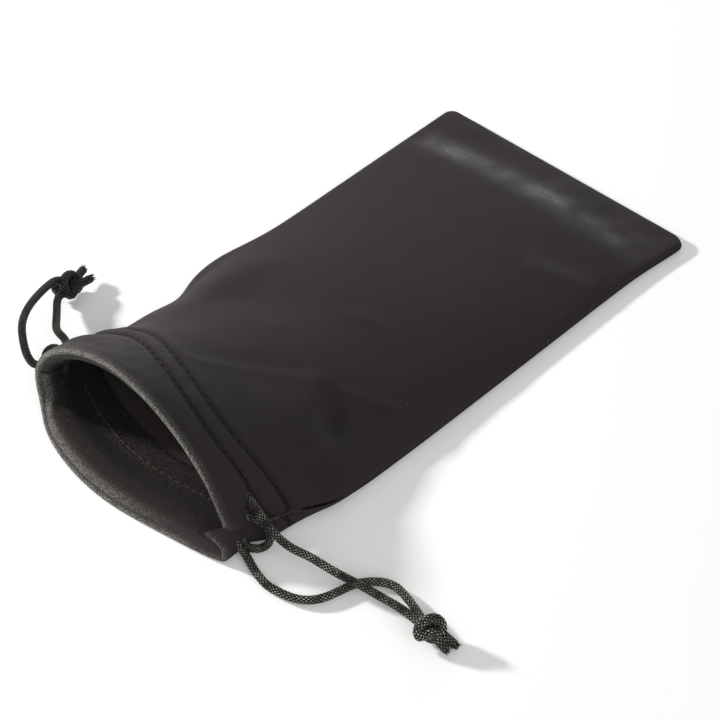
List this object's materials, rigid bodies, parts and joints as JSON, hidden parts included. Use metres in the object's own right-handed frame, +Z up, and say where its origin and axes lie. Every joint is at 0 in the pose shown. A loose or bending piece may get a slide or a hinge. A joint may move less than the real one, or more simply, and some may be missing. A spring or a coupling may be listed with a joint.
{
  "type": "soft pouch glasses case",
  "caption": "Soft cloth drawstring pouch for glasses, lying flat with its mouth open, with a knotted cord pulled out on each side.",
  "frame": {"origin": "on the ground, under the middle of the pouch without its cords", "axes": "+X across the pouch to its right side, +Y from the open mouth to the closed end, +Z up from the ground"},
  "size_m": [0.1703, 0.1831, 0.0306],
  "materials": {
    "cloth": "soft matt brushed microfibre",
    "cloth_edge": "raw cloth edge",
    "thread": "dull polyester sewing thread",
    "cord": "round braided cord, slightly shiny"
  },
  "bodies": {
    "pouch": {"front_panel": "cloth", "back_panel": "cloth", "front_tunnel_stitches": "thread", "front_edge_stitches": "thread", "back_tunnel_stitches": "thread", "back_edge_stitches": "thread", "left_seam_allowance": "cloth_edge", "right_seam_allowance": "cloth_edge", "end_seam_allowance": "cloth_edge", "left_overlock_thread": "thread", "right_overlock_thread": "thread", "end_overlock_thread": "thread", "left_seam_stitches": "thread", "right_seam_stitches": "thread", "end_seam_stitches": "thread", "left_bartack": "thread", "right_bartack": "thread", "left_cord_in_front_hem": "cord", "left_cord_in_back_hem": "cord", "left_cord_loop": "cord", "right_cord_in_front_hem": "cord", "right_cord_in_back_hem": "cord", "right_cord_loop": "cord"},
    "left_drawstring": {"left_cord_outer_leg": "cord", "left_cord_inner_leg": "cord", "left_cord_knot": "cord", "left_cord_tails": "cord"},
    "right_drawstring": {"right_cord_upper_leg": "cord", "right_cord_lower_leg": "cord", "right_cord_knot": "cord", "right_cord_tails": "cord"}
  },
  "joints": [
    {"name": "left_drawstring_pull", "type": "slide", "parent": "pouch", "child": "left_drawstring", "axis": [-1, 0, 0], "range_m": [0, 0.006]},
    {"name": "right_drawstring_pull", "type": "slide", "parent": "pouch", "child": "right_drawstring", "axis": [1, 0, 0], "range_m": [0, 0.006]}
  ]
}
